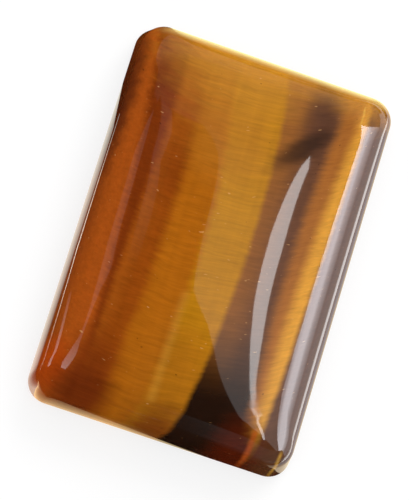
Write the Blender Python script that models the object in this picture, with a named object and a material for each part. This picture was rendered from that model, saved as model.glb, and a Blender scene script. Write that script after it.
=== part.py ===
"""A polished tiger's eye cabochon: a rectangular stone with a flat back and a low domed top.

The stone lies on its back on the plane z = 0, with its length along Y, its width along X and its
dome up. The origin is the middle of the back. Units are metres.
"""

import math

import bmesh
import bpy
from mathutils import Vector

# Outline, seen from above
WIDTH = 0.0204
LENGTH = 0.0300
CORNER_RADIUS = 0.0017
CORNER_SOFTENING = 0.35  # growth of the corner radius for each unit that a section lies inside

# Side, from the back upwards
BACK_BEVEL = 0.00028
WALL_HEIGHT = 0.0021  # up to the line where the side begins to round over
WALL_DRAFT = 0.00022  # how far the side has leaned in by that line
SHOULDER_WIDTH = 0.0024
SHOULDER_HEIGHT = 0.0022
CROWN_HEIGHT = 0.0013  # rise of the top from the shoulder to the summit

# Fineness of the mesh
CORNER_STEPS = 8
SIDE_STEPS = 16  # along each long side
END_STEPS = 10  # along each short end
SHOULDER_STEPS = 9
CROWN_STEPS = 12
SUMMIT_SCALE = 0.06  # size of the last crown section, as a share of the first

COLLECTION = "tigers_eye_cabochon"
NODE = "cabochon"
STONE_COLOR = (0.305, 0.115, 0.018, 1.0)
STONE_ROUGHNESS = 0.1


def clear_scene():
    for obj in list(bpy.data.objects):
        bpy.data.objects.remove(obj, do_unlink=True)


def stone_material():
    material = bpy.data.materials.new("tigers_eye")
    material.use_nodes = True
    shader = material.node_tree.nodes["Principled BSDF"]
    shader.inputs["Base Color"].default_value = STONE_COLOR
    shader.inputs["Roughness"].default_value = STONE_ROUGHNESS
    shader.inputs["Metallic"].default_value = 0.0
    return material


def corner_arc(side_x, side_y, start_angle, half_x, half_y, radius):
    """Points of one rounded corner, anticlockwise from start_angle."""
    middle = Vector((side_x * (half_x - radius), side_y * (half_y - radius)))
    arc = []
    for step in range(CORNER_STEPS + 1):
        angle = start_angle + math.pi / 2 * step / CORNER_STEPS
        arc.append(middle + radius * Vector((math.cos(angle), math.sin(angle))))
    return arc


def outline(inset):
    """Points of the rounded rectangle that lies inset inside the stone's outline, anticlockwise."""
    size = (WIDTH / 2 - inset, LENGTH / 2 - inset, CORNER_RADIUS + CORNER_SOFTENING * inset)
    arcs = [
        corner_arc(1, 1, 0.0, *size),
        corner_arc(-1, 1, math.pi / 2, *size),
        corner_arc(-1, -1, math.pi, *size),
        corner_arc(1, -1, math.pi * 3 / 2, *size),
    ]
    points = []
    for arc, next_arc, steps in zip(arcs, arcs[1:] + arcs[:1], (END_STEPS, SIDE_STEPS) * 2):
        points += arc
        points += [arc[-1].lerp(next_arc[0], step / steps) for step in range(1, steps)]
    return points


def crown(x, y):
    """Height that the top adds over the shoulder: nothing at the wall, most in the middle."""
    across = abs(x) / (WIDTH / 2 - WALL_DRAFT)
    along = abs(y) / (LENGTH / 2 - WALL_DRAFT)
    return CROWN_HEIGHT * max(0.0, 1 - across**2) * max(0.0, 1 - along**3)


def section(inset, height, scale=1.0, crowned=True):
    """One level ring of the stone, lifted by the crown where it lies on the top."""
    ring = []
    for x, y in outline(inset):
        x *= scale
        y *= scale
        ring.append((x, y, height + (crown(x, y) if crowned else 0.0)))
    return ring


def sections():
    """The stone's sections, from the back to the summit."""
    rings = [section(BACK_BEVEL, 0.0, crowned=False)]
    rings.append(section(0.0, BACK_BEVEL, crowned=False))
    rings.append(section(WALL_DRAFT, WALL_HEIGHT, crowned=False))
    for step in range(1, SHOULDER_STEPS + 1):
        angle = math.pi / 2 * step / SHOULDER_STEPS
        inset = WALL_DRAFT + SHOULDER_WIDTH * (1 - math.cos(angle))
        rings.append(section(inset, WALL_HEIGHT + SHOULDER_HEIGHT * math.sin(angle)))
    for step in range(1, CROWN_STEPS + 1):
        scale = 1 - (1 - SUMMIT_SCALE) * step / CROWN_STEPS
        rings.append(section(WALL_DRAFT + SHOULDER_WIDTH, WALL_HEIGHT + SHOULDER_HEIGHT, scale))
    return rings


def stone_mesh():
    """The back's outline, extruded from section to section and closed with a point at the summit."""
    rings = sections()
    bm = bmesh.new()
    back_corners = [bm.verts.new(point) for point in rings[0]]
    top = bm.faces.new(back_corners)
    for ring in rings[1:]:
        top = bmesh.ops.extrude_discrete_faces(bm, faces=[top])["faces"][0]
        for corner, point in zip(top.verts, ring):
            corner.co = point
    summit = bmesh.ops.poke(bm, faces=[top])["verts"][0]
    summit.co = (0.0, 0.0, WALL_HEIGHT + SHOULDER_HEIGHT + CROWN_HEIGHT)
    bm.faces.new(reversed(back_corners))
    bmesh.ops.recalc_face_normals(bm, faces=bm.faces)
    mesh = bpy.data.meshes.new(NODE)
    bm.to_mesh(mesh)
    bm.free()
    mesh.shade_smooth()
    mesh.set_sharp_from_angle(angle=math.radians(30))
    return mesh


def main():
    clear_scene()
    collection = bpy.data.collections.new(COLLECTION)
    bpy.context.scene.collection.children.link(collection)
    mesh = stone_mesh()
    mesh.materials.append(stone_material())
    collection.objects.link(bpy.data.objects.new(NODE, mesh))


main()
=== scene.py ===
"""Looks of a polished tiger's eye cabochon, lying on a pale floor under soft studio light."""

import math

import bmesh
import bpy
from mathutils import Matrix, Vector


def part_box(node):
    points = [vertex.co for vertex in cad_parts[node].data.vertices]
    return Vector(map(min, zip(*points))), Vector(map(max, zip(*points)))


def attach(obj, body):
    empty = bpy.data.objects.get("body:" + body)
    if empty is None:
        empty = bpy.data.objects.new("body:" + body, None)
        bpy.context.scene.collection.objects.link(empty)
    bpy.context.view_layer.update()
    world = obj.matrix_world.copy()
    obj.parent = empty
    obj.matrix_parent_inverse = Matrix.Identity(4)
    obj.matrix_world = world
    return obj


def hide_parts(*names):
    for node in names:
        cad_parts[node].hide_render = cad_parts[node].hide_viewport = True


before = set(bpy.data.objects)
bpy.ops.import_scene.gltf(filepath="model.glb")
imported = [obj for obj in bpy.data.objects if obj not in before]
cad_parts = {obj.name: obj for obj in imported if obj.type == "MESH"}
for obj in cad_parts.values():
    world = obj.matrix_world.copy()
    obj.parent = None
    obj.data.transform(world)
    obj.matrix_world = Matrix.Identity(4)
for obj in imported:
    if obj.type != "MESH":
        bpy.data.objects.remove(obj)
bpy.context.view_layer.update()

NODE = "cabochon"
MM = 0.001

# The stone's outline and section, as in the CAD; the overall sizes are read from its box
CORNER_RADIUS = 1.7 * MM
CORNER_SOFTENING = 0.35
BACK_BEVEL = 0.28 * MM
WALL_HEIGHT = 2.1 * MM
WALL_DRAFT = 0.22 * MM
SHOULDER_WIDTH = 2.4 * MM
SHOULDER_HEIGHT = 2.2 * MM
SHOULDER_START = math.radians(12)  # where the shoulder's arc meets the leaning wall without a crease

# Fineness of the surface
CORNER_STEPS = 16
SIDE_STEPS = 90
END_STEPS = 60
BEVEL_STEPS = 4
WALL_STEPS = 8
SHOULDER_STEPS = 36
CROWN_STEPS = 70
SUMMIT_SCALE = 0.01  # size of the last crown section, as a share of the first
SHARP_ANGLE = math.radians(30)  # edges that bend more than this are shaded sharp

# Camera: the photograph's viewing angle
CAMERA_AZIMUTH = math.radians(-25.46)
CAMERA_ELEVATION = math.radians(74.84)
CAMERA_ROLL = math.radians(43.48)
CAMERA_AIM = Vector((-0.85, -0.79, 3.0)) * MM
CAMERA_DISTANCE = 220 * MM
CAMERA_LENS = 214.3

# The stone's colours: red, green and blue from 0 to 255, as on a screen
RUST = (165, 78, 20)
# Painted shadow on the far half of the left edge
SHADOW_RUST = (84, 34, 14)
# Painted shade along the left edge
SHADED_RUST = (118, 52, 18)
RED_BROWN = (119, 49, 11)
DARK_CHESTNUT = (110, 50, 16)
CHESTNUT = (145, 69, 13)
RUSSET = (152, 76, 17)
AMBER = (168, 94, 16)
GOLD = (181, 121, 18)
DEEP_GOLD = (164, 95, 20)
OLD_GOLD = (176, 112, 34)
DARK_BROWN = (136, 82, 34)
BLACK_BROWN = (36, 20, 12)
UMBER = (98, 60, 38)
DARK_UMBER = (84, 50, 32)
COPPER = (160, 96, 36)
# Partly the stone's own orange gold, partly a painted sheen where the right shoulder catches the light
ORANGE_GOLD_SHEEN = (214, 149, 50)
MAUVE_BROWN = (100, 62, 42)
HAZEL = (88, 52, 30)
TAN_GOLD = (184, 122, 32)
EMBER = (180, 66, 10)
OXBLOOD = (78, 26, 9)
MAHOGANY = (96, 34, 12)
DULL_ORANGE = (186, 84, 30)
PALE_FLECK = (232, 176, 112)
BRIGHT_GOLD = (212, 158, 62)
# Colours of the painted glow on the rims, standing for light that soaks through the stone
PALE_GOLD_GLOW = (255, 232, 150)
APRICOT_GLOW = (246, 196, 128)


def linear(rgb):
    """A colour of 0 to 255 as the renderer's linear light, by the sRGB formula."""
    shares = [c / 255 for c in rgb]
    light = [c / 12.92 if c <= 0.04045 else ((c + 0.055) / 1.055) ** 2.4 for c in shares]
    return (*light, 1.0)


class Graph:
    """A node tree, built from short calls; each returns the socket that holds its result."""

    def __init__(self, tree):
        self.tree = tree
        tree.nodes.clear()

    def node(self, kind, sockets=(), **settings):
        node = self.tree.nodes.new(kind)
        for name, value in settings.items():
            setattr(node, name, value)
        for name, value in dict(sockets).items():
            self.feed(node.inputs[name], value)
        return node

    def feed(self, socket, value):
        if isinstance(value, bpy.types.NodeSocket):
            self.tree.links.new(value, socket)
        else:
            socket.default_value = value

    def math(self, operation, *values):
        node = self.node("ShaderNodeMath", operation=operation)
        for socket, value in zip(node.inputs, values):
            self.feed(socket, value)
        return node.outputs[0]

    def combine(self, x, y, z):
        return self.node("ShaderNodeCombineXYZ", {"X": x, "Y": y, "Z": z}).outputs[0]

    def noise(self, vector, seed, scale=1.0, detail=2.0, roughness=0.5):
        sockets = {"Vector": vector, "Scale": scale, "Detail": detail, "Roughness": roughness, "W": seed}
        return self.node("ShaderNodeTexNoise", sockets, noise_dimensions="4D").outputs["Fac"]

    def ramp(self, value, low, high, start=0.0, end=1.0):
        """start below low, end above high, and a smooth step between them."""
        sockets = {"Value": value, "From Min": low, "From Max": high, "To Min": start, "To Max": end}
        return self.node("ShaderNodeMapRange", sockets, interpolation_type="SMOOTHSTEP").outputs["Result"]

    def mix(self, factor, first, second):
        """A blend of two colours, which are the node's inputs 6 and 7 and its output 2."""
        node = self.node("ShaderNodeMix", data_type="RGBA")
        self.feed(node.inputs[0], factor)
        self.feed(node.inputs[6], first)
        self.feed(node.inputs[7], second)
        return node.outputs[2]


def corner_arc(side_x, side_y, start_angle, half_x, half_y, radius):
    """Points of one rounded corner, anticlockwise from start_angle."""
    middle = Vector((side_x * (half_x - radius), side_y * (half_y - radius)))
    arc = []
    for step in range(CORNER_STEPS + 1):
        angle = start_angle + math.pi / 2 * step / CORNER_STEPS
        arc.append(middle + radius * Vector((math.cos(angle), math.sin(angle))))
    return arc


class Stone:
    """The cabochon's surface, worked out from the CAD box and the sections above."""

    def __init__(self):
        low, high = (Vector(corner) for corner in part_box(NODE))
        self.width, self.length, self.height = high - low
        self.crown_height = self.height - WALL_HEIGHT - SHOULDER_HEIGHT

    def outline(self, inset):
        """Points of the rounded rectangle that lies inset inside the stone's outline, anticlockwise."""
        size = (self.width / 2 - inset, self.length / 2 - inset, CORNER_RADIUS + CORNER_SOFTENING * inset)
        arcs = [
            corner_arc(1, 1, 0.0, *size),
            corner_arc(-1, 1, math.pi / 2, *size),
            corner_arc(-1, -1, math.pi, *size),
            corner_arc(1, -1, math.pi * 3 / 2, *size),
        ]
        points = []
        for arc, next_arc, steps in zip(arcs, arcs[1:] + arcs[:1], (END_STEPS, SIDE_STEPS) * 2):
            points += arc
            points += [arc[-1].lerp(next_arc[0], step / steps) for step in range(1, steps)]
        return points

    def crown(self, x, y):
        """Height that the top adds over the shoulder: nothing at the wall, most in the middle."""
        across = abs(x) / (self.width / 2 - WALL_DRAFT)
        along = abs(y) / (self.length / 2 - WALL_DRAFT)
        return self.crown_height * max(0.0, 1 - across**2) * max(0.0, 1 - along**3)

    def section(self, inset, height, scale=1.0, crowned=True):
        """One level ring of the stone, lifted by the crown where it lies on the top."""
        ring = []
        for x, y in self.outline(inset):
            x *= scale
            y *= scale
            ring.append((x, y, height + (self.crown(x, y) if crowned else 0.0)))
        return ring

    def sections(self):
        """The stone's sections, from the back to the summit."""
        rings = []
        for step in range(BEVEL_STEPS):
            share = step / BEVEL_STEPS
            rings.append(self.section(BACK_BEVEL * (1 - share), BACK_BEVEL * share, crowned=False))
        for step in range(WALL_STEPS + 1):
            share = step / WALL_STEPS
            height = BACK_BEVEL + (WALL_HEIGHT - BACK_BEVEL) * share
            rings.append(self.section(WALL_DRAFT * share, height, crowned=False))
        for step in range(SHOULDER_STEPS + 1):
            angle = SHOULDER_START + (math.pi / 2 - SHOULDER_START) * step / SHOULDER_STEPS
            inset = WALL_DRAFT + SHOULDER_WIDTH * (1 - math.cos(angle))
            rings.append(self.section(inset, WALL_HEIGHT + SHOULDER_HEIGHT * math.sin(angle)))
        for step in range(1, CROWN_STEPS + 1):
            scale = 1 - (1 - SUMMIT_SCALE) * step / CROWN_STEPS
            rings.append(self.section(WALL_DRAFT + SHOULDER_WIDTH, WALL_HEIGHT + SHOULDER_HEIGHT, scale))
        return rings

    def mesh(self):
        """The back's outline, extruded from section to section and closed at the summit."""
        rings = self.sections()
        bm = bmesh.new()
        back_corners = [bm.verts.new(point) for point in rings[0]]
        top = bm.faces.new(back_corners)
        for ring in rings[1:]:
            top = bmesh.ops.extrude_discrete_faces(bm, faces=[top])["faces"][0]
            for corner, point in zip(top.verts, ring):
                corner.co = point
        summit = bmesh.ops.poke(bm, faces=[top])["verts"][0]
        summit.co = (0.0, 0.0, self.height)
        bm.faces.new(reversed(back_corners))
        bmesh.ops.recalc_face_normals(bm, faces=bm.faces)
        mesh = bpy.data.meshes.new("polished_stone")
        bm.to_mesh(mesh)
        bm.free()
        mesh.shade_smooth()
        mesh.set_sharp_from_angle(angle=SHARP_ANGLE)
        return mesh


# Each band of colour, from left to right: where its left edge runs at the near end, in the middle and at
# the far end of the stone (millimetres along X), how wide the edge's blur is, how far the fibres fray it,
# and the band's colour
BANDS = (
    (-7.2, -7.65, -8.6, 0.8, 0.2, RED_BROWN),
    (-6.9, -6.6, -6.2, 0.8, 0.3, RUSSET),
    (-6.6, -5.6, -5.6, 1.2, 0.4, CHESTNUT),
    (-4.9, -4.3, -4.7, 1.0, 0.4, AMBER),
    (-1.9, -1.5, -2.6, 0.9, 0.4, GOLD),
    (1.1, 1.9, 1.45, 0.6, 0.08, DARK_BROWN),
    (3.2, 3.2, 3.5, 2.2, 0.4, UMBER),
    (5.7, 5.2, 6.0, 1.1, 0.3, COPPER),
    # This band's brightness is partly painted sheen
    (6.3, 6.4, 7.4, 1.1, 0.2, ORANGE_GOLD_SHEEN),
    (7.1, 7.5, 8.0, 0.6, 0.04, MAUVE_BROWN),
    (7.7, 8.3, 8.9, 1.0, 0.1, HAZEL),
)
BAND_END = 12.0  # how far from the middle the two outer figures of each edge are taken
BAND_HEIGHT = 5.0  # the height, in millimetres, for which the bands' figures hold
BAND_TILT = 0.12  # how far the layers lean over as they go down into the stone
BAND_WAVE = 0.15  # how far the broad noise shifts their edges
DEEPENING = (DARK_BROWN, UMBER)  # bands that turn black-brown towards the near end
NIGHTFALL = (-4.5, -12.0)  # where along Y that begins and ends

# Clouds, where the colour drifts off its band's: middle, half width and half length in millimetres, how
# far along Y the cloud climbs for each millimetre along X, how much of its colour there is at most, and
# that colour. Those of the golden part end at the dark band's edge, and the others lie over all bands.
# The two dark ones at the left edge are painted shade and painted shadow, not the stone's own colour
GOLD_CLOUDS = (
    (-0.6, -12.0, 3.8, 7.0, 0.0, 0.65, DEEP_GOLD),
    (-0.6, -15.6, 3.2, 3.2, 0.0, 0.85, DARK_CHESTNUT),
)
CLOUDS = (
    (-2.7, 15.0, 7.5, 7.8, 0.0, 0.95, TAN_GOLD),
    (6.5, 15.2, 6.0, 4.0, 0.0, 0.85, TAN_GOLD),
    (-1.5, 7.0, 4.5, 4.0, 0.0, 0.5, OLD_GOLD),
    (-5.4, 3.6, 1.8, 3.4, 0.0, 0.35, RED_BROWN),
    (-6.4, -13.5, 2.8, 5.5, 0.0, 0.8, RED_BROWN),
    # Painted shade: the rust darkens towards the left edge, all along it
    (-10.4, 0.0, 1.4, 40.0, 0.0, 0.7, SHADED_RUST),
    # Painted shadow over the far half of the left edge
    (-10.6, 8.0, 1.8, 8.0, 0.0, 0.9, SHADOW_RUST),
    (-9.3, -12.6, 1.6, 2.6, 0.0, 0.65, EMBER),
    (-6.9, -14.0, 3.2, 3.0, 0.0, 0.5, MAHOGANY),
    (4.4, 11.0, 1.5, 3.2, 0.0, 0.65, DARK_UMBER),
    (3.7, 8.4, 2.6, 1.5, 0.95, 0.72, BLACK_BROWN),
    (5.7, -14.8, 2.6, 3.7, 0.0, 1.0, OXBLOOD),
)
CLOUD_FADE = (0.25, 1.1)  # where a cloud begins to thin out and where it ends, as shares of its half size
CLOUD_DRIFT = 0.25  # how far the broad noise moves that, in the same shares

# Veins, thin lines of one colour along the bands: their X, their two ends along Y and half their width in
# millimetres, how much of the colour they have, and that colour
VEINS = (
    (-1.55, -13.5, -4.5, 0.6, 0.18, BRIGHT_GOLD),
    (6.5, -15.2, -12.4, 0.38, 0.65, DULL_ORANGE),
    (8.9, -15.2, -13.2, 0.24, 0.65, BRIGHT_GOLD),
    (7.45, 11.2, 13.6, 0.14, 0.7, BRIGHT_GOLD),
)
VEIN_FADE = 0.6  # length of a vein's faint ends
VEIN_WAVE = 0.1  # how far the broad noise shifts them

# Fibres, which cross the bands and hang like a chain. In millimetres: where along X they hang lowest, how
# they climb from there with the square and the fourth power of the distance, and how far they wave
SAG_X = -3.0
SAG_SQUARE = 0.0145
SAG_FOURTH = 0.00008
FIBRE_WAVE = 0.45

# Noises drawn out along the fibres: how fine each is along and across them, its detail, roughness and seed
BROAD = (0.16, 1.4, 3.0, 0.5, 2.0)
FINE = (0.3, 4.5, 2.0, 0.6, 1.0)
STRANDS = (0.3, 6.0, 2.0, 0.7, 3.0)
WISPS = (0.35, 2.4, 2.0, 0.5, 4.0)
SPECKS = (3.0, 3.6, 0.0, 0.5, 7.0)
FLECKS = (2.2, 5.5, 0.0, 0.5, 6.0)

# How much strands, wisps and columns lighten and darken the stone, and how fine the columns are
STRAND_LIGHT = 0.28
WISP_LIGHT = 0.18
COLUMN_LIGHT = 0.14
COLUMN_ACROSS = 1.3
COLUMN_ALONG = 0.07

# Where the noise turns into dark specks and pale flecks, how dark the specks are, and how strong the flecks
SPECK_EDGE = (0.12, 0.17)
SPECK_LIGHT = 0.5
FLECK_EDGE = (0.78, 0.86)
FLECK_SHARE = 0.35

# Painted glow on the two rims, standing for light that soaks through the stone: how strong each is, and where
# it begins or ends along X and Y and in height, in millimetres
FAR_PAINTED_GLOW = 0.4
FAR_PAINTED_GLOW_X = (-9.5, -7.0)
FAR_PAINTED_GLOW_Y = (13.6, 14.4)
FAR_PAINTED_GLOW_FOOT = (2.1, 2.5)
FAR_PAINTED_GLOW_TOP = (3.3, 4.3)
NEAR_PAINTED_GLOW = 0.2
NEAR_PAINTED_GLOW_X = (-4.0, 1.0)
NEAR_PAINTED_GLOW_Y = (-14.9, -14.0)
NEAR_PAINTED_GLOW_TOP = (0.6, 2.3)


class Layers:
    """The stone's inner structure, at a place in millimetres: bands, frayed and crossed by fibres."""

    def __init__(self, g, place):
        self.g = g
        self.x, self.y, self.z = g.node("ShaderNodeSeparateXYZ", {"Vector": place}).outputs
        from_sag = g.math("SUBTRACT", self.x, SAG_X)
        sag_square = g.math("MULTIPLY", from_sag, from_sag)
        sag_slope = g.math("MULTIPLY_ADD", sag_square, SAG_FOURTH, SAG_SQUARE)
        waves = g.noise(g.combine(self.x, self.y, self.z), scale=0.3, detail=2.0, seed=8.0)
        sagged = g.math("SUBTRACT", self.y, g.math("MULTIPLY", sag_square, sag_slope))
        self.fibre_y = g.math("ADD", sagged, self.around(waves, FIBRE_WAVE))
        self.broad = self.noise(*BROAD)
        self.fine = self.noise(*FINE)

    def noise(self, along_x, across, detail, roughness, seed):
        """Noise drawn out along the fibres; the figures say how fine it is along and across them."""
        g = self.g
        stretched = g.combine(
            g.math("MULTIPLY", self.x, along_x),
            g.math("MULTIPLY", self.fibre_y, across),
            g.math("MULTIPLY", self.z, across),
        )
        return g.noise(stretched, detail=detail, roughness=roughness, seed=seed)

    def around(self, noise, reach):
        """A noise of 0 to 1 as a shift of up to reach either way."""
        return self.g.math("MULTIPLY", self.g.math("SUBTRACT", noise, 0.5), 2 * reach)

    def bands(self):
        """The bands' colours. The golden part's clouds go under the dark band, so they end at its edge."""
        g = self.g
        lean = g.math("MULTIPLY_ADD", self.z, -BAND_TILT, BAND_HEIGHT * BAND_TILT)
        across = g.math("ADD", g.math("ADD", self.x, lean), self.around(self.broad, BAND_WAVE))
        share = g.math("DIVIDE", self.y, BAND_END)
        share_square = g.math("MULTIPLY", share, share)
        night = g.ramp(self.y, *reversed(NIGHTFALL), 1.0, 0.0)
        colour = linear(RUST)
        for near, middle, far, blur, fray, band in BANDS:
            if band == DARK_BROWN:
                colour = self.clouds(colour, GOLD_CLOUDS)
            bend = g.math("MULTIPLY", share_square, (near + far) / 2 - middle)
            edge = g.math("ADD", g.math("MULTIPLY_ADD", share, (far - near) / 2, middle), bend)
            depth = g.math("ADD", g.math("SUBTRACT", across, edge), self.around(self.fine, fray))
            shade = g.mix(night, linear(band), linear(BLACK_BROWN)) if band in DEEPENING else linear(band)
            colour = g.mix(g.ramp(depth, -blur / 2, blur / 2), colour, shade)
        return colour

    def clouds(self, colour, clouds):
        """Soft ovals of other colours over the colour."""
        g = self.g
        drift = self.around(self.broad, CLOUD_DRIFT)
        for x, y, half_width, half_length, climb, most, cloud in clouds:
            beside = g.math("SUBTRACT", self.x, x)
            beyond = g.math("SUBTRACT", g.math("SUBTRACT", self.y, y), g.math("MULTIPLY", beside, climb))
            far_x = g.math("DIVIDE", beside, half_width)
            far_y = g.math("DIVIDE", beyond, half_length)
            square = g.math("ADD", g.math("MULTIPLY", far_x, far_x), g.math("MULTIPLY", far_y, far_y))
            share = g.ramp(g.math("ADD", g.math("SQRT", square), drift), *CLOUD_FADE, most, 0.0)
            colour = g.mix(share, colour, linear(cloud))
        return colour

    def veins(self, colour):
        """Thin lines along the bands, faint at both ends."""
        g = self.g
        wave = self.around(self.broad, VEIN_WAVE)
        for x, start, end, half_width, most, vein in VEINS:
            beside = g.math("ABSOLUTE", g.math("ADD", g.math("SUBTRACT", self.x, x), wave))
            share = g.ramp(beside, 0.0, half_width, most, 0.0)
            from_start = g.ramp(self.y, start, start + VEIN_FADE)
            to_end = g.ramp(self.y, end - VEIN_FADE, end, 1.0, 0.0)
            share = g.math("MULTIPLY", share, g.math("MULTIPLY", from_start, to_end))
            colour = g.mix(share, colour, linear(vein))
        return colour

    def fibres(self, colour):
        """Fine light and dark strands along the fibres, soft columns along the bands, and a few flecks."""
        g = self.g
        strands = self.noise(*STRANDS)
        wisps = self.noise(*WISPS)
        column_x = g.math("MULTIPLY", self.x, COLUMN_ACROSS)
        column_y = g.math("MULTIPLY", self.y, COLUMN_ALONG)
        columns = g.noise(g.combine(column_x, column_y, self.z), detail=2.0, seed=5.0)
        light = g.math("ADD", self.around(strands, STRAND_LIGHT), self.around(wisps, WISP_LIGHT))
        light = g.math("ADD", light, self.around(columns, COLUMN_LIGHT))
        light = g.math("ADD", light, 1.0)
        light = g.math("MULTIPLY", light, g.ramp(self.noise(*SPECKS), *SPECK_EDGE, SPECK_LIGHT, 1.0))
        streaked = g.node("ShaderNodeVectorMath", {0: colour, 3: light}, operation="SCALE").outputs[0]
        fleck = g.ramp(self.noise(*FLECKS), *FLECK_EDGE, 0.0, FLECK_SHARE)
        return g.mix(fleck, streaked, linear(PALE_FLECK))

    def rims(self, colour):
        """Painted glow for light that soaks through: pale gold on the far shoulder, apricot at the near
        wall's foot.
        """
        g = self.g
        # Painted glow, not a lamp: pale gold on the far shoulder and apricot at the foot of the near wall
        far = g.math("MULTIPLY", g.ramp(self.y, *FAR_PAINTED_GLOW_Y), g.ramp(self.z, *FAR_PAINTED_GLOW_TOP, FAR_PAINTED_GLOW, 0.0))
        far_side = g.math("MULTIPLY", g.ramp(self.x, *FAR_PAINTED_GLOW_X), g.ramp(self.z, *FAR_PAINTED_GLOW_FOOT))
        far = g.math("MULTIPLY", far, far_side)
        near_side = g.ramp(self.x, *NEAR_PAINTED_GLOW_X, 1.0, 0.0)
        near = g.math("MULTIPLY", g.ramp(self.y, *NEAR_PAINTED_GLOW_Y, 1.0, 0.0), near_side)
        near = g.math("MULTIPLY", near, g.ramp(self.z, *NEAR_PAINTED_GLOW_TOP, NEAR_PAINTED_GLOW, 0.0))
        return g.mix(near, g.mix(far, colour, linear(PALE_GOLD_GLOW)), linear(APRICOT_GLOW))

    def colour(self):
        """The stone's colour, from the bands up to the painted glow of its rims."""
        return self.rims(self.fibres(self.veins(self.clouds(self.bands(), CLOUDS))))


QUARTZ_IOR = 1.54


def stone_material():
    """The layers under a clear polish, which alone mirrors the surroundings."""
    material = bpy.data.materials.new("tigers_eye")
    material.use_nodes = True
    g = Graph(material.node_tree)
    place = g.node(
        "ShaderNodeVectorMath",
        {0: g.node("ShaderNodeTexCoord").outputs["Object"], 3: 1 / MM},
        operation="SCALE",
    ).outputs[0]
    shader = g.node(
        "ShaderNodeBsdfPrincipled",
        {
            "Base Color": Layers(g, place).colour(),
            "Roughness": 0.4,
            "IOR": QUARTZ_IOR,
            "Specular IOR Level": 0.0,
            "Subsurface Weight": 0.12,
            "Subsurface Radius": (1.0, 0.45, 0.15),
            "Subsurface Scale": 0.8 * MM,
            "Coat Weight": 1.0,
            "Coat Roughness": 0.03,
            "Coat IOR": QUARTZ_IOR,
        },
    )
    g.node("ShaderNodeOutputMaterial", {"Surface": shader.outputs[0]})
    return material


def build_stone():
    piece = bpy.data.objects.new("polished_stone", Stone().mesh())
    bpy.context.scene.collection.objects.link(piece)
    piece.data.materials.append(stone_material())
    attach(piece, "root")
    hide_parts(NODE)


WHITE = (1.0, 1.0, 1.0, 1.0)
FLOOR_RADIUS = 1.5
FLOOR_COLOR = (0.3, 0.3, 0.3, 1.0)
FLOOR_GLOW = 0.72


def build_floor():
    """A pale floor that glows evenly, like a light table."""
    bpy.ops.mesh.primitive_circle_add(vertices=128, radius=FLOOR_RADIUS, fill_type="NGON")
    floor = bpy.context.object
    floor.name = "floor"
    material = bpy.data.materials.new("floor")
    material.use_nodes = True
    g = Graph(material.node_tree)
    shader = g.node(
        "ShaderNodeBsdfPrincipled",
        {
            "Base Color": FLOOR_COLOR,
            "Roughness": 0.9,
            "Specular IOR Level": 0.0,
            "Emission Color": WHITE,
            "Emission Strength": FLOOR_GLOW,
        },
    )
    g.node("ShaderNodeOutputMaterial", {"Surface": shader.outputs[0]})
    floor.data.materials.append(material)
    floor.visible_glossy = False


# The key light's place and size in metres and its power in watts, and the radiance of the room around
KEY_PLACE = Vector((0.18, 0.60, 0.36))
KEY_SIZE = 0.5
KEY_POWER = 3.0
ROOM_RADIANCE = 0.84


def build_room():
    world = bpy.data.worlds.new("room")
    world.use_nodes = True
    g = Graph(world.node_tree)
    sky = g.node("ShaderNodeBackground", {"Color": WHITE, "Strength": ROOM_RADIANCE})
    g.node("ShaderNodeOutputWorld", {"Surface": sky.outputs[0]})
    world.cycles_visibility.glossy = False
    bpy.context.scene.world = world


def build_key():
    data = bpy.data.lights.new("key", "AREA")
    data.size = KEY_SIZE
    data.energy = KEY_POWER
    key = bpy.data.objects.new("key", data)
    key.matrix_world = Matrix.Translation(KEY_PLACE) @ KEY_PLACE.to_track_quat("Z", "Y").to_matrix().to_4x4()
    key.visible_glossy = False
    bpy.context.scene.collection.objects.link(key)


# Cards that only the stone's polish mirrors. The overhead ones hang level, and their corners are slopes: how
# far each lies along X and Y for each unit of its height over the floor
CARD_HEIGHT = 620 * MM
LIGHT_HEIGHT = 600 * MM
CEILING = (
    (-0.68, 0.44), (-0.50, 0.415), (-0.33, 0.39), (-0.205, 0.405), (-0.15, 0.416), (-0.083, 0.429),
    (-0.037, 0.405), (-0.002, 0.369), (0.016, 0.32), (0.025, 0.26), (0.06, 0.17), (0.159, 0.10),
    (0.204, 0.04), (0.232, -0.02), (0.262, -0.08), (0.35, -0.28), (0.61, -0.535), (3.8, -2.6),
    (7.0, 7.0), (-2.0, 7.0), (-1.27, 1.43), (-1.33, 0.77),
)
STRIP = (
    (0.36, 0.46), (0.345, 0.42), (0.33, 0.35), (0.315, 0.27), (0.328, 0.203), (0.341, 0.158),
    (0.348, 0.103), (0.350, 0.064), (0.345, 0.025), (0.337, -0.004), (0.327, -0.023), (0.319, -0.034),
    (0.342, -0.096), (0.429, -0.257), (0.513, -0.422), (0.598, -0.60), (0.64, -0.58), (0.56, -0.39),
    (0.468, -0.238), (0.360, -0.092), (0.338, -0.05), (0.333, -0.020), (0.344, -0.007), (0.360, 0.016),
    (0.374, 0.050), (0.390, 0.095), (0.399, 0.141), (0.400, 0.185), (0.396, 0.218), (0.386, 0.30),
    (0.38, 0.42),
)
WINDOW = (
    (0.61, 0.30), (0.60, 0.24), (0.55, 0.17), (0.512, 0.134), (0.48, 0.10), (0.594, 0.039),
    (0.749, -0.10), (1.06, -0.42), (2.57, -1.67), (6.0, -4.4), (6.0, 3.4), (0.61, 0.72),
)
LEFT_RIBBON = (
    (-0.78, -0.42), (-0.57, -0.42), (-0.34, -0.06), (-0.29, 0.08), (-0.28, 0.15), (-0.29, 0.20),
    (-0.31, 0.23), (-0.33, 0.27), (-0.40, 0.38), (-0.90, 0.38), (-0.72, 0.27), (-0.61, 0.23),
    (-0.53, 0.19), (-0.45, 0.15), (-0.43, 0.10), (-0.56, 0.02), (-0.79, -0.26),
)
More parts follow.
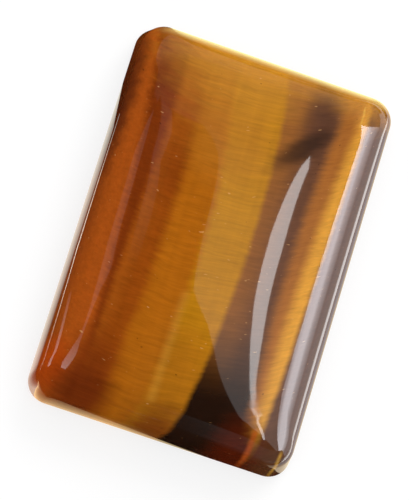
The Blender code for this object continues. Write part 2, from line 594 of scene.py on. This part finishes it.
LEFT_BAND = (
    (-0.24, 0.40), (-0.272, 0.31), (-0.255, 0.25), (-0.24, 0.20), (-0.20, 0.20), (-0.205, 0.25),
    (-0.232, 0.305), (-0.205, 0.36), (-0.205, 0.403),
)

# Low cards, in millimetres: those that lie flat by the X and Y of their corners, the others by X, Y and Z
OVER_FLOOR = 0.1
UNDER_FLOOR = -0.1  # the polish doesn't mirror the floor, so it mirrors what lies just under it
LEFT_LINE = (
    (-46.7, -20, 12.5), (-48, -5, 7), (-48, -2, 1.5), (-48, 1, -6),
    (-48, 1, 0), (-48, -2, 7), (-48, -5, 13), (-46.7, -20, 19),
)
LEFT_EDGE = (
    (-11.6, 8), (-11.75, 2), (-12.1, -3), (-14.2, -9), (-16.5, -14),
    (-17.2, -14), (-14.9, -9), (-12.65, -3), (-12.2, 2), (-12, 8),
)
LEFT_RIM = (
    (-8.4, -15), (-11.15, -15), (-11.15, -2), (-10.75, 6),
    (-10.35, 10), (-10, 14), (-10, -13), (-9.2, -14.2),
)
NEAR_RIM = ((-12, -15), (8, -15), (6, -15.1), (2, -15.26), (-3, -15.5), (-12, -16))
NEAR_WALL = ((5, -60, 0), (120, -60, 0), (120, -60, 45), (5, -60, 45))

# Tints of the cards, and directions along which their radiance changes
NEUTRAL = (1.0, 1.0, 1.0)
COOL = (0.93, 0.94, 1.0)
WARM = (0.99, 0.97, 0.84)
AMBER_LIGHT = (1.0, 0.84, 0.6)
APRICOT_LIGHT = (1.0, 0.75, 0.4)
PALE_LIGHT = (0.96, 1.0, 0.54)
ALONG_X = (1.0, 0.0, 0.0)
ALONG_Y = (0.0, 1.0, 0.0)
ACROSS_WINDOW = (1.0, 0.7, 0.0)


def overhead(slopes, height=CARD_HEIGHT):
    """Corners of a level card at the height, from its slopes."""
    return [(x * height, y * height, height) for x, y in slopes]


def in_metres(corners):
    """Corners that are given in millimetres, in metres."""
    return [tuple(c * MM for c in corner) for corner in corners]


def flat(plan, height):
    """Corners of a card that lies flat at the height, from their X and Y."""
    return in_metres([(x, y, height) for x, y in plan])


def rectangle(low_x, high_x, low_y, high_y, height=OVER_FLOOR):
    """Corners of a rectangular card that lies flat."""
    return flat(((low_x, low_y), (high_x, low_y), (high_x, high_y), (low_x, high_y)), height)


def side_wall(x, low_y, high_y, top):
    """Corners of a card that stands on the floor to one side of the stone."""
    return in_metres([(x, y, z) for y, z in ((low_y, 0), (high_y, 0), (high_y, top), (low_y, top))])


def stops_in(unit, *stops):
    """Stops of radiance in metres, each from its place in the unit and the radiance there."""
    return [(place * unit, radiance) for place, radiance in stops]


def spread(g, direction, stops):
    """Radiance that changes evenly from stop to stop along the direction."""
    place = g.node("ShaderNodeTexCoord").outputs["Object"]
    along = g.node("ShaderNodeVectorMath", {0: place, 1: direction}, operation="DOT_PRODUCT").outputs["Value"]
    radiance = stops[0][1]
    for (start, dim), (end, bright) in zip(stops, stops[1:]):
        sockets = {"Value": along, "From Min": start, "From Max": end, "To Min": 0.0, "To Max": bright - dim}
        radiance = g.math("ADD", g.node("ShaderNodeMapRange", sockets).outputs["Result"], radiance)
    return radiance


def build_card(name, corners, radiance, tint=NEUTRAL, direction=ALONG_Y):
    """A glowing card. Its radiance is a figure, or stops along the direction."""
    mesh = bpy.data.meshes.new(name)
    mesh.from_pydata(corners, [], [range(len(corners))])
    material = bpy.data.materials.new(name)
    material.use_nodes = True
    g = Graph(material.node_tree)
    strength = radiance if isinstance(radiance, float) else spread(g, direction, radiance)
    glow = g.node("ShaderNodeEmission", {"Color": (*tint, 1.0), "Strength": strength})
    g.node("ShaderNodeOutputMaterial", {"Surface": glow.outputs[0]})
    mesh.materials.append(material)
    card = bpy.data.objects.new(name, mesh)
    bpy.context.scene.collection.objects.link(card)
    card.visible_camera = False
    card.visible_diffuse = False
    card.visible_shadow = False


def build_overhead_cards():
    """What the top and the shoulders mirror: a wide veil, soft shapes at the left, a strip and a window."""
    veil = stops_in(
        CARD_HEIGHT,
        (-0.1, 0.95), (0.06, 0.88), (0.34, 0.28), (0.45, 0.15), (0.55, 0.15), (1.0, 0.4),
    )
    build_card("ceiling", overhead(CEILING), veil)
    ribbon = stops_in(CARD_HEIGHT, (-0.42, 3.0), (-0.06, 1.5), (0.1, 0.6), (0.3, 0.35))
    build_card("left_ribbon", overhead(LEFT_RIBBON), ribbon)
    band = stops_in(CARD_HEIGHT, (0.20, 0.0), (0.25, 0.15), (0.3, 0.3))
    build_card("left_band", overhead(LEFT_BAND), band)
    build_card("strip_light", overhead(STRIP, LIGHT_HEIGHT), 6.8)
    window = stops_in(
        LIGHT_HEIGHT,
        (0.53, 4.5), (0.66, 4.5), (0.76, 7.5), (0.9, 9.5), (1.4, 9.8),
        (1.58, 9.6), (1.98, 6.0), (2.65, 4.2), (4.3, 2.6), (6.1, 1.8),
    )
    build_card("window_light", overhead(WINDOW, LIGHT_HEIGHT), window, COOL, ACROSS_WINDOW)


def build_low_cards():
    """What the walls and their rims mirror."""
    build_card("left_line", in_metres(LEFT_LINE), stops_in(MM, (-20, 3.5), (-5, 2.2), (1, 0.2)))
    build_card("right_wall", side_wall(300, -350, 350, 80), 1.8, COOL)
    build_card("right_floor", rectangle(24, 300, -350, 350), 1.6)
    build_card("right_edge", rectangle(17, 25, -20, 20), 5.5)
    build_card("right_rim", rectangle(12.5, 17, -20, 20, UNDER_FLOOR), 1.2, COOL)
    build_card("right_glow", rectangle(10, 12.5, -20, 20, UNDER_FLOOR), 1.2, AMBER_LIGHT)
    left_edge = stops_in(MM, (-12, 3.2), (-2, 5.0), (8, 1.2))
    build_card("left_edge", flat(LEFT_EDGE, 0.0), left_edge, WARM)
    left_rim = stops_in(
        MM,
        (-11.15, 0.1), (-10.95, 0.15), (-10.75, 0.42), (-10.55, 1.05), (-10.4, 1.6), (-10.25, 2.1),
    )
    build_card("left_rim", flat(LEFT_RIM, UNDER_FLOOR), left_rim, WARM, ALONG_X)
    near_rim = stops_in(MM, (-15.9, 0.2), (-15.6, 0.6), (-15.35, 1.1), (-15.15, 2.6), (-15.0, 4.8))
    build_card("near_rim", flat(NEAR_RIM, UNDER_FLOOR), near_rim, APRICOT_LIGHT)
    far_rim = stops_in(MM, (15.4, 1.9), (17, 1.5), (20, 1.2), (30, 0.6), (45, 0.0))
    build_card("far_rim", rectangle(-8.0, 10.4, 15.1, 45, UNDER_FLOOR), far_rim, PALE_LIGHT)
    near = stops_in(MM, (5, 0.0), (14, 0.2))
    build_card("near_wall", in_metres(NEAR_WALL), near, direction=ALONG_X)
    build_card("near_floor", rectangle(5, 120, -60, -24), near, direction=ALONG_X)


def build_camera():
    back = Vector(
        (
            math.sin(CAMERA_AZIMUTH) * math.cos(CAMERA_ELEVATION),
            -math.cos(CAMERA_AZIMUTH) * math.cos(CAMERA_ELEVATION),
            math.sin(CAMERA_ELEVATION),
        )
    )
    right = Vector((math.cos(CAMERA_AZIMUTH), math.sin(CAMERA_AZIMUTH), 0.0))
    turn = Matrix((right, back.cross(right), back)).transposed() @ Matrix.Rotation(CAMERA_ROLL, 3, "Z")
    data = bpy.data.cameras.new("camera")
    data.lens = CAMERA_LENS
    data.clip_start = 10 * MM
    camera = bpy.data.objects.new("camera", data)
    camera.matrix_world = Matrix.Translation(CAMERA_AIM + back * CAMERA_DISTANCE) @ turn.to_4x4()
    bpy.context.scene.collection.objects.link(camera)
    bpy.context.scene.camera = camera


build_stone()
build_floor()
build_room()
build_key()
build_overhead_cards()
build_low_cards()
build_camera()
bpy.context.scene.view_settings.view_transform = "Standard"
